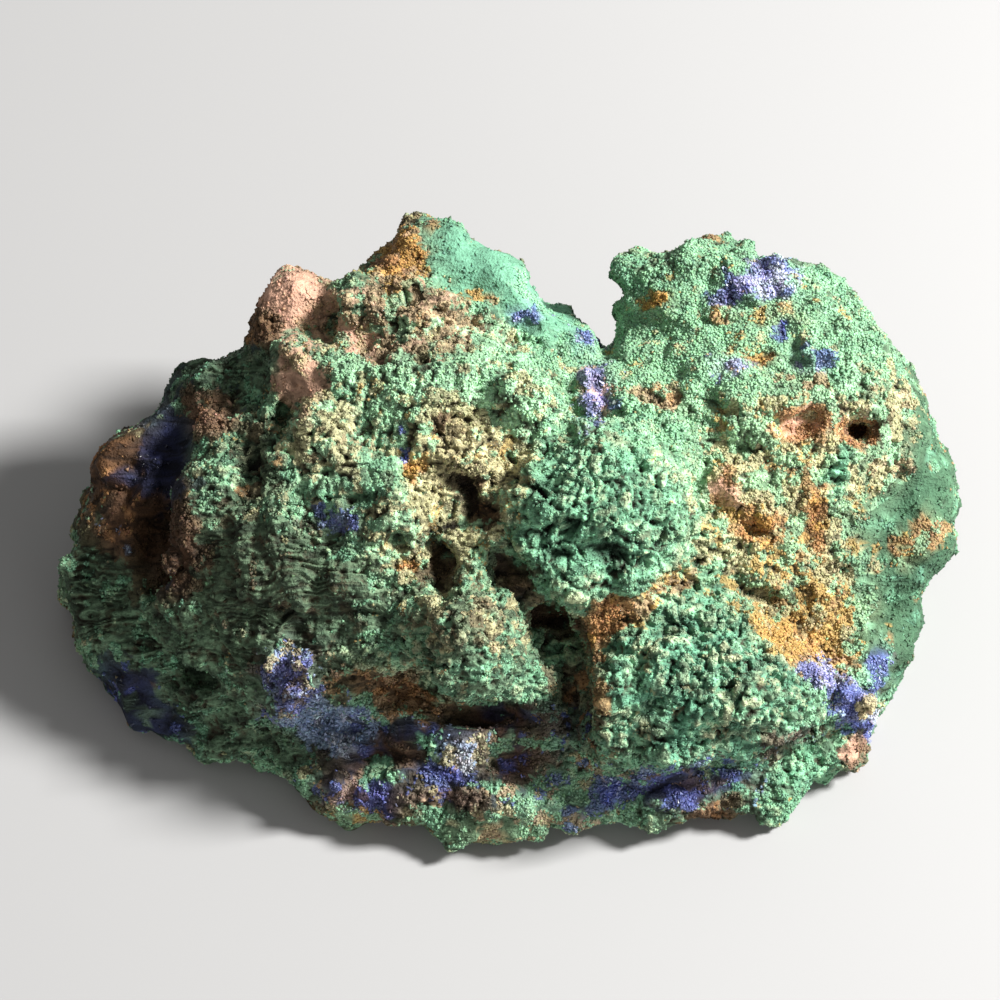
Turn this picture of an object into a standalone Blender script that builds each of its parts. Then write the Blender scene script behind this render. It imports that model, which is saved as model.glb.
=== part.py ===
"""An azurite specimen: one palm-sized piece of rock, crusted with malachite, azurite and limonite.

The piece is one solid. It lies on its flat underside, and its show face looks up and forward, so most
measurements are taken in the face frame: RIGHT and UP along the show face and OUT away from it, in mm.
The solid is made in stages. Rounded masses are fused into one body, the body is trimmed to the rim's
outline, pits and clefts are cut, the surface gets its lumps and grape-like knobs, azurite crystals are
set into the crust and fused with it, and the underside is sawn flat. The world is in metres, +Z up,
with the origin under the middle of the piece.
"""

import math
import random

import bmesh
import bpy
from mathutils import Matrix, Vector
from mathutils.bvhtree import BVHTree

MM = 0.001

# Driving dimensions.
FACE_TILT = math.radians(55)  # how far the show face's outward direction points above level
FACE_HEIGHT = 20.0  # mm, height of the face frame's origin above the underside
APEX = Vector((-0.6, 3.7, 420.0))  # face frame, mm: the point that the rim's walls lead to
CUTTER_REACH = 90.0  # mm, how far each cutter goes past the face frame's origin
FUSE_VOXEL = 1.0  # mm
TRIM_VOXEL = 0.8  # mm
CRUST_VOXEL = 0.5  # mm
SOLID_FACES = 12200  # triangles left after thinning, before the underside is cut
CRYSTAL_WIDTH = (1.6, 3.2)  # mm
CRYSTAL_TALL = (1.4, 2.6)  # mm, how far a crystal stands out of the crust
CRYSTAL_ROOT = 2.2  # mm, how deep its root is set
CRYSTAL_LEAN = 38  # degrees, the most that a crystal leans away from the crust's outward direction

# Rounded masses: name, place (right, up, out), half sizes (right, up, out) and turn about OUT in degrees.
MASSES = (
    ("core", (-4, -3, -3), (44, 27, 19), 0),
    ("core_right", (26, 2, -7), (28, 26, 16), 0),
    ("foot", (0, -14, -14), (47, 26, 15), 0),
    ("foot_back", (2, 8, -24), (46, 24, 16), 0),
    ("top_knob", (-7, 33, -7), (8.5, 7.5, 8), -20),
    ("top_knob_slope", (3, 26, -6), (13, 6.5, 9), -38),
    ("top_knob_left", (-13.5, 33, -6), (4, 6, 7), 0),
    ("pink_knob", (-26, 28, -3), (4.6, 4.8, 6), 0),
    ("pink_knob_root", (-28, 22, -6), (7, 7, 9), 0),
    ("brown_block", (-11, 25.8, 0), (11, 5.4, 7), -4),
    ("brown_block_end", (-18.4, 26.5, -1), (4.5, 6, 6.5), 0),
    ("granular_knob", (-25.4, 19.8, 4), (3.6, 4.6, 5), 10),
    ("brown_knob", (-35.8, 14.4, -2), (3.6, 3, 5), 0),
    ("plateau", (-9, 15, 3), (18, 9.5, 11), -8),
    ("plateau_edge", (-20, 10, 6), (8, 9, 7), 20),
    ("centre_dome", (11, 1.2, 9), (13.5, 12.5, 11.5), -25),
    ("centre_dome_foot", (14, -5, 10), (9, 6, 9), 20),
    ("centre_dome_top", (7, 10, 7), (8, 6, 8), 0),
    ("centre_left", (-15, 1, 8), (8, 10, 9), 0),
    ("centre_left_knob", (-18, -6, 9), (6, 5, 7), 0),
    ("mint_shoulder", (3, 15.5, 7), (7, 5, 8), -20),
    ("cream_shoulder", (-4.5, 8.5, 10), (5, 4, 7), 0),
    ("lower_mid_dome", (-4.3, -13, 10), (8.2, 8.6, 12), 0),
    ("lower_right_dome", (24.5, -18.5, 7), (13.5, 11.5, 12), -20),
    ("lower_right_sill", (20, -25, 7), (11, 5.6, 10.5), -6),
    ("lower_right_end", (34.5, -20, 4), (7, 6.5, 10), -20),
    ("lower_right_knob", (13.5, -19.5, 12), (4.4, 4.4, 6), 0),
    ("lower_right_bead", (15.5, -25, 11), (3.6, 3.6, 5), 0),
    ("right_lobe", (34, 12, -6), (21, 22, 15), 20),
    ("right_lobe_top", (27, 29, -10), (15, 9, 12), -4),
    ("right_lobe_tip", (17, 30, -9), (6, 8, 9), 0),
    ("right_ridge", (20.5, 11.5, 3), (8, 3.6, 7), -35),
    ("right_bulge", (30, 16, 3), (6, 4.5, 6), 20),
    ("right_rim", (48, 2, -10), (10, 20, 13), 6),
    ("right_swell", (43, 3, -2), (7, 9, 8), 0),
    ("right_flank", (43, -16, -5), (9, 11, 10), 20),
    ("blue_end", (42, -20.8, 3), (4, 3, 5), 0),
    ("grey_knob", (45.3, -23.7, 1), (2.2, 2.4, 4), 0),
    ("end_knob", (43.4, -28, -1), (2.6, 2.4, 4), 0),
    ("left_slope", (-23.5, -4, 2), (14.5, 20, 12.5), 14),
    ("left_slope_foot", (-20, -17, 2), (12, 9, 9), -10),
    ("left_rim", (-46.5, -7, -9), (12.5, 17, 10), 10),
    ("left_top", (-41, 11, -10), (13, 10, 9), 35),
    ("left_green", (-35, 19, -7), (8, 5, 8), 25),
    ("left_lump_high", (-47, 9.5, -5), (4, 4.6, 5.5), 0),
    ("left_lump_mid", (-47.5, 1, -5), (4, 4.4, 6), 0),
    ("left_lump_low", (-45, -6, -4), (3.4, 3.6, 5), 0),
    ("left_ledge", (-45.5, -14.5, -4), (9.5, 3, 6), -38),
    ("left_ledge_low", (-36.5, -21.5, -2), (6, 3.4, 6), -30),
    ("blue_toe", (-43, -21, -9), (10, 7, 8), -35),
    ("green_toe", (-34, -26, -4), (9, 5, 6), -10),
    ("shelf_left", (-18, -31, -1), (14, 8, 7), -20),
    ("shelf_mid", (-2, -33, 1), (20, 8, 7.5), 4),
    ("shelf_right", (24, -33, -1), (18, 6.5, 8), 8),
    ("shelf_end", (39, -30, -2), (8, 7, 6), 30),
    ("blue_ridge", (-26.5, -18, 6), (3.4, 6.5, 5.5), 12),
)

# Pits and clefts: name, place (right, up, out), half sizes (right, up, out) and turn about OUT in degrees.
PITS = (
    ("round_hole", (44, 12.6, 7), (2.4, 1.7, 7), 12),
    ("small_hole", (48.8, 13, 2), (1.1, 1.1, 5), 0),
    ("cleft_top", (-6.8, 10.8, 20), (3.4, 1.6, 7), -8),
    ("cleft_mid", (-8, -5, 20), (2.4, 4.4, 9), -20),
    ("cleft_low", (-6.5, -3, 20), (5, 1.6, 8), 25),
    ("cleft_deep", (6, -13, 17), (3.4, 5.6, 10), 12),
    ("cleft_high", (1.2, -4.5, 20), (1.8, 6, 7), 14),
    ("cleft_root", (8.6, -22, 13), (2.6, 6, 8), 0),
    ("pocket_cream", (-5.8, 4.2, 21), (2, 2, 6), 0),
    ("pocket_cream_right", (-0.4, 8, 20), (1.6, 2.2, 6), 0),
    ("pocket_left", (-16, 4.3, 18), (1.8, 1.5, 5), 15),
    ("pocket_low_left", (-13, -2.5, 19), (1.6, 2.6, 6), 20),
    ("socket_a", (7.4, 0.6, 23), (1.6, 1.4, 5), 0),
    ("socket_b", (6.8, -3.1, 23), (1.8, 1.6, 5), 0),
    ("socket_c", (13.6, -3.7, 23), (2.0, 1.4, 5), 0),
    ("socket_d", (19.8, -1.2, 20), (1.4, 1.4, 4), 0),
    ("under_ledge", (-4, -22.6, 12), (7.5, 1.6, 6.5), -3),
    ("brown_pocket", (-11, -19.5, 11.5), (7, 2.6, 5), 10),
    ("under_slope", (-20, -24.5, 8), (6, 1.8, 5), -14),
    ("under_dome", (37, -25.4, 9), (6, 1.0, 5), 22),
    ("under_dome_mid", (27, -29.5, 11), (8, 1.0, 6), 8),
    ("orange_seam", (13, -9.8, 19), (7, 1.1, 6), 24),
    ("orange_seam_end", (22, -6, 15), (4, 1.2, 5), 20),
    ("rust_pocket", (26.5, 3.2, 10.5), (2.8, 2.4, 2.4), 0),
    ("rust_notch", (31, 0.2, 9), (2.8, 1.4, 3), -25),
    ("rust_dent", (38.4, 1, 9), (1.8, 3.6, 2.6), 0),
    ("crack_upper", (24, 6.4, 11), (1.2, 4, 2.5), -14),
    ("crack_lobe", (36.4, 13.2, 9), (3.6, 1.6, 3), 10),
    ("crack_rim", (48.8, 6.8, 3), (2.4, 0.9, 4), 30),
    ("green_groove", (40.4, 7.4, 9), (0.9, 4, 3), -8),
    ("notch_dent", (11, 16.8, 8), (3.4, 4.4, 4), 12),
    ("notch_groove", (12.6, 24.4, -4), (1.4, 3.4, 12), 0),
    ("notch_back", (12, 27, -24), (3.6, 6, 13), 0),
    ("lobe_dent", (18, 28, 3), (1.2, 3, 4), 10),
    ("left_hollow", (-42.2, -1.5, 3), (5, 7.6, 4), -6),
    ("left_blue_hollow", (-42.5, 9.6, 3), (3.6, 5, 4), -15),
    ("left_wall", (-27.4, 14, 9), (1.8, 3, 6), -8),
    ("left_ledge_gap", (-39, -17, 3), (4, 1.4, 4), -38),
    ("block_gap", (-21.9, 27.4, 5), (0.9, 3.2, 5), 0),
    ("block_line", (-4.6, 30.4, 1), (4.6, 0.8, 4), -12),
    ("block_pit_a", (-14.8, 29, 7), (1.6, 1.2, 5), 10),
    ("block_pit_b", (-11.5, 29.6, 7), (1.4, 1.2, 5), 0),
)

# Groups of azurite crystals: place (right, up), how far they spread, and how many.
CRYSTALS = (
    ((33.3, 30.2), 2.6, 5),
    ((28.1, 29.6), 1.6, 2),
    ((38.3, 22), 1.6, 3),
    ((10.9, 17), 2.4, 4),
    ((-26.5, -18.5), 3, 5),
    ((42.6, -21), 2, 4),
    ((39.5, -17.5), 2, 2),
    ((-46.3, -19.8), 3.4, 4),
    ((-43.8, 9.3), 2.4, 3),
    ((-19, -32), 3, 3),
    ((20.4, -31.5), 3, 2),
)

# The rim as seen along OUT: right and up, in mm, clockwise from the left end.
RIM = (
    (-55, -6.8), (-54.9, -4), (-53.2, -2.8), (-52.9, 1.8), (-51.5, 5), (-51, 8.4), (-50, 9.9),
    (-46.5, 12.6), (-42.6, 15), (-41.9, 17), (-40.2, 19.5), (-37.9, 21), (-34.9, 22), (-31.4, 23.5),
    (-32, 25.7), (-30.7, 27.2), (-30, 29.4), (-28, 31.9), (-26, 32.6), (-24.6, 31.9), (-23.3, 31.1),
    (-19.9, 31.1), (-17.9, 32.3), (-15.7, 33.8), (-14, 35), (-13.2, 36.8), (-12.6, 38.5), (-11.2, 39.4),
    (-9.3, 39.4), (-6.5, 38), (-5, 36.8), (-3.8, 34.8), (-1.6, 34.4), (0.4, 33.6), (1.4, 32.3), (2.8, 29.9),
    (4.3, 28.5), (6.8, 27.2), (8.5, 26.2), (10.5, 24), (11.7, 23.5), (13.1, 24), (13.2, 25.3), (12.6, 26.8),
    (13.3, 27.9), (14.7, 28.6), (14.6, 29.9), (13.8, 31.5), (13.7, 33.1), (14.6, 33.7), (20.1, 33.7),
    (21.4, 34.6), (22.8, 35.8), (26.3, 35.8), (28.8, 35.2), (30.5, 35.3), (31.5, 33.7), (35.2, 33.2),
    (38.9, 32.6), (41.6, 30.9), (43.8, 28.9), (45.3, 26.4), (46.3, 23.5), (48.1, 21.5), (50.5, 18.5),
    (51.5, 16.5), (52.2, 14.1), (53.7, 10.9), (55.4, 7.4), (55.6, 4.3), (55.7, 0.6), (55.2, -2.5),
    (54.2, -4.2), (52.5, -5.9), (51.2, -7.9), (51.5, -10.9), (50.7, -12.6), (50.9, -14.8), (49.5, -16.3),
    (49.8, -17.5), (48.3, -19), (47, -20.5), (45.9, -23), (46.2, -24), (45.1, -26.9), (45.2, -28.6),
    (44.1, -29.8), (42.6, -29.6), (41.4, -28.8), (40.4, -28.8), (39.9, -30.6), (37.9, -31.1), (37.4, -32),
    (35.9, -33.7), (34.2, -35.8), (33.2, -36.4), (32.2, -36.2), (30.9, -34.8), (28.4, -34.8), (26.8, -35.9),
    (24.1, -35.6), (21.9, -35.3), (19.8, -36.2), (18.5, -37.3), (16.7, -36.5), (13, -36.7), (11.7, -37.3),
    (9.9, -36.9), (6.2, -36.7), (4.3, -37.8), (-0.6, -38.9), (-4.9, -39.5), (-6.8, -39.3), (-8.3, -38.3),
    (-9.3, -36.8), (-11.5, -36), (-15.4, -36.3), (-17.9, -36.8), (-19.4, -37.9), (-20.4, -37.7),
    (-21.6, -36.4), (-23.1, -35.8), (-24.3, -33.3), (-25.6, -32.5), (-27.8, -30.4), (-29.5, -30.6),
    (-31, -29.6), (-31.5, -28.6), (-37.2, -28.8), (-38.2, -28.1), (-38.9, -26.4), (-40.6, -26.5),
    (-42.6, -25.7), (-45.1, -24.9), (-46.5, -23.7), (-47.8, -21), (-50, -18.3), (-51.5, -17.3),
    (-52.5, -15.4), (-53, -13.6), (-52.7, -11.7), (-53.5, -9.9), (-54.7, -8.6),
)


def clear_scene():
    for obj in list(bpy.data.objects):
        bpy.data.objects.remove(obj)


def face_frame():
    """The matrix from the face frame, in mm, to the world, in metres."""
    out = Vector((0, -math.cos(FACE_TILT), math.sin(FACE_TILT)))
    up = Vector((0, math.sin(FACE_TILT), math.cos(FACE_TILT)))
    right = Vector((1, 0, 0))
    turn = Matrix((right, up, out)).transposed().to_4x4()
    place = Matrix.Translation(Vector((0, 0, FACE_HEIGHT)))
    return Matrix.Scale(MM, 4) @ place @ turn


def seen(right, up, out):
    """The point at the depth out that covers (right, up, 0) when looked at from APEX."""
    return Vector((right, up, 0)).lerp(APEX, out / APEX.z)


def new_object(name, bm):
    mesh = bpy.data.meshes.new(name)
    bm.to_mesh(mesh)
    bm.free()
    obj = bpy.data.objects.new(name, mesh)
    bpy.context.scene.collection.objects.link(obj)
    return obj


def hide_cutter(obj):
    obj.hide_render = True
    obj.display_type = "WIRE"


def ellipsoids(name, rows, face):
    """One mesh that holds an ellipsoid for each row of (name, place, half sizes, turn)."""
    bm = bmesh.new()
    for _, place, half, turn in rows:
        matrix = face @ Matrix.Translation(seen(*place)) @ Matrix.Rotation(math.radians(turn), 4, "Z")
        matrix = matrix @ Matrix.Diagonal(Vector((*half, 1)))
        bmesh.ops.create_icosphere(bm, subdivisions=4, radius=1, matrix=matrix)
    return new_object(name, bm)


def rim_cutter(face):
    """The rim's outline as a closed wall whose sides all lead to APEX, so it widens towards the back."""
    bm = bmesh.new()
    ends = []
    for out in (CUTTER_REACH, -CUTTER_REACH):
        verts = [bm.verts.new(face @ seen(*point, out)) for point in RIM]
        ends.append(bm.faces.new(verts))
    front, back = (list(face_end.edges) for face_end in ends)
    bmesh.ops.bridge_loops(bm, edges=front + back)
    bmesh.ops.recalc_face_normals(bm, faces=bm.faces)
    cutter = new_object("rim_cutter", bm)
    hide_cutter(cutter)
    return cutter


def floor_cutter():
    """A block under the level of the underside."""
    bm = bmesh.new()
    size = 2 * CUTTER_REACH * MM
    matrix = Matrix.Translation((0, 0, -size / 2)) @ Matrix.Scale(size, 4)
    bmesh.ops.create_cube(bm, size=1, matrix=matrix)
    cutter = new_object("floor_cutter", bm)
    hide_cutter(cutter)
    return cutter


def add_remesh(obj, voxel_mm):
    modifier = obj.modifiers.new("fuse", "REMESH")
    modifier.mode = "VOXEL"
    modifier.voxel_size = voxel_mm * MM


def add_boolean(obj, cutter, operation):
    modifier = obj.modifiers.new(cutter.name, "BOOLEAN")
    modifier.operation = operation
    modifier.object = cutter
    modifier.solver = "EXACT"


def add_smooth(obj, rounds):
    modifier = obj.modifiers.new("wear", "SMOOTH")
    modifier.factor = 0.5
    modifier.iterations = rounds


def add_relief(obj, name, kind, size_mm, depth_mm, level=0.5):
    """Moves the surface in and out by a solid texture with features of about size_mm."""
    texture = bpy.data.textures.new(name, kind)
    texture.noise_scale = size_mm * MM
    modifier = obj.modifiers.new(name, "DISPLACE")
    modifier.texture = texture
    modifier.texture_coords = "LOCAL"
    modifier.mid_level = level
    modifier.strength = depth_mm * MM
    return texture


def freeze(obj):
    """Replaces the modifiers of obj by their result."""
    graph = bpy.context.evaluated_depsgraph_get()
    mesh = bpy.data.meshes.new_from_object(obj.evaluated_get(graph))
    obj.modifiers.clear()
    obj.data = mesh


def add_crystal(bm, matrix, width, tall, rng):
    """A blade with four flat sides and a wedge-shaped end, root at -CRYSTAL_ROOT and tip at tall."""
    thick = width * rng.uniform(0.45, 0.8)
    shoulder = tall * rng.uniform(0.35, 0.6)
    rings = ((-CRYSTAL_ROOT, 1.0, 1.0), (shoulder, 1.0, 1.0), (tall, 0.62, 0.12))
    corners = ((-1, -1), (1, -1), (1, 1), (-1, 1))
    points = []
    for z, wide, deep in rings:
        points += [(x * wide * width / 2, y * deep * thick / 2, z) for x, y in corners]
    verts = [bm.verts.new(matrix @ Vector(point)) for point in points]
    bmesh.ops.convex_hull(bm, input=verts)


def set_crystals(rock, face):
    """Adds blades that stand on the rock's surface around each place in CRYSTALS."""
    rng = random.Random(5)
    surface = BVHTree.FromPolygons([v.co for v in rock.data.vertices], [f.vertices for f in rock.data.polygons])
    apex = face @ APEX
    bm = bmesh.new()
    bm.from_mesh(rock.data)
    for (right, up), spread, count in CRYSTALS:
        for _ in range(count):
            turn = rng.uniform(0, math.tau)
            reach = spread * math.sqrt(rng.random())
            aim = face @ Vector((right + reach * math.cos(turn), up + reach * math.sin(turn), 0))
            spot, normal, _, _ = surface.ray_cast(apex, (aim - apex).normalized())
            lean = Matrix.Rotation(math.radians(rng.uniform(0, CRYSTAL_LEAN)), 4, "X")
            turn = Matrix.Rotation(rng.uniform(0, math.tau), 4, "Z")
            stand = normal.to_track_quat("Z", "Y").to_matrix().to_4x4()
            matrix = Matrix.Translation(spot) @ stand @ turn @ lean @ Matrix.Scale(MM, 4)
            add_crystal(bm, matrix, rng.uniform(*CRYSTAL_WIDTH), rng.uniform(*CRYSTAL_TALL), rng)
    bm.to_mesh(rock.data)
    bm.free()


def thin_faces(obj, count):
    """Leaves about count triangles."""
    triangles = sum(len(polygon.vertices) - 2 for polygon in obj.data.polygons)
    modifier = obj.modifiers.new("thin", "DECIMATE")
    modifier.ratio = count / triangles


def centre(obj):
    """Moves the mesh so that the origin is in the middle of its box, seen from above."""
    xs = [vertex.co.x for vertex in obj.data.vertices]
    ys = [vertex.co.y for vertex in obj.data.vertices]
    shift = Vector((-(min(xs) + max(xs)) / 2, -(min(ys) + max(ys)) / 2, 0))
    obj.data.transform(Matrix.Translation(shift))


def rock_material():
    material = bpy.data.materials.new("malachite_crust")
    material.use_nodes = True
    shader = material.node_tree.nodes["Principled BSDF"]
    shader.inputs["Base Color"].default_value = (0.16, 0.36, 0.25, 1)
    shader.inputs["Roughness"].default_value = 0.8
    shader.inputs["Metallic"].default_value = 0.0
    return material


def build_specimen():
    face = face_frame()
    pits = ellipsoids("pit_cutter", PITS, face)
    hide_cutter(pits)
    add_remesh(pits, TRIM_VOXEL)
    rock = ellipsoids("azurite_specimen", MASSES, face)
    add_remesh(rock, FUSE_VOXEL)
    add_smooth(rock, 3)
    add_relief(rock, "swells", "CLOUDS", 13, 4.0)
    add_boolean(rock, rim_cutter(face), "INTERSECT")
    add_boolean(rock, pits, "DIFFERENCE")
    add_remesh(rock, TRIM_VOXEL)
    add_smooth(rock, 2)
    add_relief(rock, "lumps", "VORONOI", 7.5, -1.8, 0.40)
    add_relief(rock, "knobs", "VORONOI", 3.8, -1.6, 0.40)
    add_relief(rock, "grit", "CLOUDS", 2.2, 0.9)
    freeze(rock)
    set_crystals(rock, face)
    add_remesh(rock, CRUST_VOXEL)
    freeze(rock)
    thin_faces(rock, SOLID_FACES)
    add_boolean(rock, floor_cutter(), "DIFFERENCE")
    freeze(rock)
    centre(rock)
    rock.data.materials.append(rock_material())
    return rock


clear_scene()
build_specimen()
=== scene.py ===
# %% [markdown]
# # An azurite specimen, step by step
# The piece is one rock, as wide as a palm. Copper-bearing water left crusts on it: sugary green
# malachite, blades of blue azurite, and rusty limonite. Nothing on it is painted or assembled, so
# the whole look comes from three things: the rock's own form, a skin of very small grains, and the
# colour of each mineral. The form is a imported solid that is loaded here. It could be shown as it
# is, but its facets are 2 mm wide, so it only serves as the core that the finer pieces below are
# grown on.

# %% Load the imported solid
import math

import bmesh
import bpy
import numpy as np
from mathutils import Matrix, Vector


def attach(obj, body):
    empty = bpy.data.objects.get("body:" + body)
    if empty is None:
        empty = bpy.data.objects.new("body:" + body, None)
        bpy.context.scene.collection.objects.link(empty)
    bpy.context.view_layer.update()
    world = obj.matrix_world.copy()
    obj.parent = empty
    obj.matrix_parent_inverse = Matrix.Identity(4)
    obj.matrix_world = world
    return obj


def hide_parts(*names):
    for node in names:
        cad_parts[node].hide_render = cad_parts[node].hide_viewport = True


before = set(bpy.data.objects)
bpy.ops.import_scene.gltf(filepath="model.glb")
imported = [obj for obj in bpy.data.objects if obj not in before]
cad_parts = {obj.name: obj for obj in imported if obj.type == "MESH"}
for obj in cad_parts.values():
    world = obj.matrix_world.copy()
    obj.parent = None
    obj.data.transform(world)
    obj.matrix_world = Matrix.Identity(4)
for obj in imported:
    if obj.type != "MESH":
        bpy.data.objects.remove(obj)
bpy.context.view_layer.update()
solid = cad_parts["azurite_specimen"]
MM = 0.001

# %% [markdown]
# ## The show face
# A collector lays such a piece so that its best side looks up and forward. Places on it are easier
# to name in that side's own directions than in world axes: RIGHT and UP along it and OUT away from
# it, in mm. The camera looks straight along -OUT, so a place's right and up are where it is seen,
# whatever its depth.

# %% Directions of the show face, and the camera
FACE_TILT = math.radians(55)
FACE_ORIGIN = np.array((-0.47, -3.74, 20.0))  # mm
RIGHT = np.array((1.0, 0.0, 0.0))
UP = np.array((0.0, math.sin(FACE_TILT), math.cos(FACE_TILT)))
OUT = np.array((0.0, -math.cos(FACE_TILT), math.sin(FACE_TILT)))
EYE = (-0.6, 3.7, 420.0)  # mm: right, up and out of the camera
LENS = 122.5  # mm on a 36 mm sensor


def to_world(right, up, out):
    """World place in mm: the face's origin plus right, up and out along its three directions."""
    return FACE_ORIGIN + right * RIGHT + up * UP + out * OUT


def seen_at(points):
    """Right and up, in mm, at which each world point appears, and its depth out.

    A point's right and up are scaled about the camera's axis by EYE out / (EYE out - point out)."""
    local = (points - FACE_ORIGIN) @ np.stack((RIGHT, UP, OUT), axis=1)
    eye = np.array(EYE)
    grow = eye[2] / (eye[2] - local[:, 2])
    return (local[:, :2] - eye[:2]) * grow[:, None] + eye[:2], local[:, 2]


lens = bpy.data.cameras.new("show_camera")
lens.lens = LENS
lens.sensor_width = 36
lens.clip_start = 0.01
camera = bpy.data.objects.new("show_camera", lens)
axes = Matrix(np.stack((RIGHT, UP, OUT), axis=1).tolist()).to_4x4()
camera.matrix_world = Matrix.Translation(Vector(to_world(*EYE) * MM)) @ axes
bpy.context.scene.collection.objects.link(camera)
bpy.context.scene.camera = camera
print("camera at", [round(v, 3) for v in camera.matrix_world.translation])

# %% [markdown]
# ## Floor and light
# Minerals are best seen under one clear light from above and to the side, because only a shadow in
# each pit shows how rough a druse is. One lamp of about the piece's own size gives soft-edged
# shadows, and a pale floor and a faint sky fill them. A bare sun would be harder than a studio, and
# a big dome would show no relief.

# %% Build the floor and the lights
FLOOR_SIZE = 3.0  # m
FLOOR_COLOUR = (0.34, 0.335, 0.33)
SKY_STRENGTH = 0.33


def flat_sheet(name, size):
    """A square at z = 0 whose corners are (+-size/2, +-size/2)."""
    half = size / 2
    corners = [(-half, -half, 0), (half, -half, 0), (half, half, 0), (-half, half, 0)]
    mesh = bpy.data.meshes.new(name)
    mesh.from_pydata(corners, [], [(0, 1, 2, 3)])
    sheet = bpy.data.objects.new(name, mesh)
    bpy.context.scene.collection.objects.link(sheet)
    return sheet


def plain_material(name, colour, roughness):
    """One colour and one roughness all over."""
    material = bpy.data.materials.new(name)
    material.use_nodes = True
    shader = material.node_tree.nodes["Principled BSDF"]
    shader.inputs["Base Color"].default_value = (*colour, 1)
    shader.inputs["Roughness"].default_value = roughness
    return material


def add_lamp(name, toward, distance, size, power):
    """A square lamp at distance along the direction toward (right, up, out), aimed at the face's
    origin."""
    direction = toward[0] * RIGHT + toward[1] * UP + toward[2] * OUT
    direction = Vector(direction / np.linalg.norm(direction))
    data = bpy.data.lights.new(name, "AREA")
    data.size = size
    data.energy = power
    lamp = bpy.data.objects.new(name, data)
    lamp.location = Vector(FACE_ORIGIN * MM) + direction * distance
    lamp.rotation_euler = direction.to_track_quat("Z", "Y").to_euler()
    bpy.context.scene.collection.objects.link(lamp)


floor = flat_sheet("floor", FLOOR_SIZE)
floor.data.materials.append(plain_material("pale_floor", FLOOR_COLOUR, 0.9))
add_lamp("key_lamp", (0.85, 0.5, 0.58), 0.8, 0.14, 19.5)
add_lamp("fill_lamp", (0.6, -0.7, 0.55), 0.9, 0.4, 3.6)
world = bpy.data.worlds.new("studio")
world.use_nodes = True
world.node_tree.nodes["Background"].inputs["Color"].default_value = (1, 1, 1, 1)
world.node_tree.nodes["Background"].inputs["Strength"].default_value = SKY_STRENGTH
bpy.context.scene.world = world
bpy.context.scene.view_settings.view_transform = "Standard"

# %% [markdown]
# ## Noise as plain arithmetic
# Rock has no ruled lines, so nearly every choice below is steered by noise: how far a knob stands
# out, which mineral a grain is, how dark it is. Blender's texture nodes make noise too, but only
# inside a shader. Here the same ideas are written with numpy, so that one field can move vertices,
# place grains and pick colours alike.

# %% Noise helpers


def cell_random(cells, seed):
    """A number in 0..1 for each whole-numbered cell (x, y, z): its coordinates are multiplied by
    large odd numbers, added, and their bits stirred twice."""
    x, y, z = (cells[:, i].astype(np.int64).astype(np.uint64) for i in range(3))
    mixed = x * np.uint64(0x9E3779B97F4A7C15) + y * np.uint64(0xC2B2AE3D27D4EB4F)
    mixed += z * np.uint64(0x165667B19E3779F9) + np.uint64(seed * 7919 + 1)
    for shift in (29, 32):
        mixed ^= mixed >> np.uint64(shift)
        mixed *= np.uint64(0xBF58476D1CE4E5B9)
    return (mixed >> np.uint64(40)).astype(float) / float(1 << 24)


def soft_noise(points, size, seed):
    """Smooth noise in 0..1 with blobs of about size mm: the random numbers of the eight corners
    round a point, blended by 3t^2 - 2t^3 along each axis."""
    at = points / size
    low = np.floor(at)
    t = at - low
    t = t * t * (3 - 2 * t)
    total = np.zeros(len(points))
    for dx in (0, 1):
        for dy in (0, 1):
            for dz in (0, 1):
                weight = np.abs(1 - dx - t[:, 0]) * np.abs(1 - dy - t[:, 1])
                weight *= np.abs(1 - dz - t[:, 2])
                total += weight * cell_random(low + (dx, dy, dz), seed)
    return total


def layered_noise(points, size, seed, layers=3):
    """Sum of soft noises, each half the size and half the height of the last, brought back to
    0..1."""
    total = np.zeros(len(points))
    for layer in range(layers):
        total += soft_noise(points, size / 2**layer, seed + layer) / 2**layer
    return total / (2 - 2 ** (1 - layers))


test = np.random.default_rng(1).uniform(-40, 40, (2000, 3))
print("mean of layered noise:", layered_noise(test, 5, 1).mean().round(2))

# %% Knobs, lumps and steps


def knob_noise(points, size, seed):
    """Height 0..1 of round knobs about size mm apart: one seed point lies in each cell, and the
    height is the square root of 1 minus the squared distance to the nearest one, in cells."""
    at = points / size
    low = np.floor(at)
    nearest = np.full(len(points), 9.0)
    for dx in (-1, 0, 1):
        for dy in (-1, 0, 1):
            for dz in (-1, 0, 1):
                cell = low + (dx, dy, dz)
                spot = cell + np.stack([cell_random(cell, seed + k) for k in range(3)], axis=1)
                nearest = np.minimum(nearest, ((spot - at) ** 2).sum(axis=1))
    return np.sqrt(np.clip(1 - nearest, 0, 1))


def billow(points, size, seed):
    """0 along thin creases and up to 1 on the lumps between them: twice the distance of soft noise
    from a half."""
    return np.abs(2 * soft_noise(points, size, seed) - 1)


def wander(points, size, seeds, layers=3):
    """A push for each point: layered noise less a half, once for each seed, side by side."""
    return np.stack([layered_noise(points, size, seed, layers) - 0.5 for seed in seeds], axis=1)


def rise(value, low, high):
    """0 below low, 1 above high, and 3t^2 - 2t^3 between them."""
    t = np.clip((value - low) / (high - low), 0, 1)
    return t * t * (3 - 2 * t)


print("mean of knobs:", knob_noise(test, 5, 1).mean().round(2))

# %% [markdown]
# ## Which mineral grows where
# On the real piece the minerals lie in patches with ragged, mixed borders. A painter would spray
# them on, but here they also decide which grains grow, so each patch is written down instead: where
# it is on the show face, how wide it is, how it is turned, and the share of each mineral in it.
# Where no patch reaches, on the flanks and the back, a slow noise chooses between a greener and a
# browner mixture.

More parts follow.
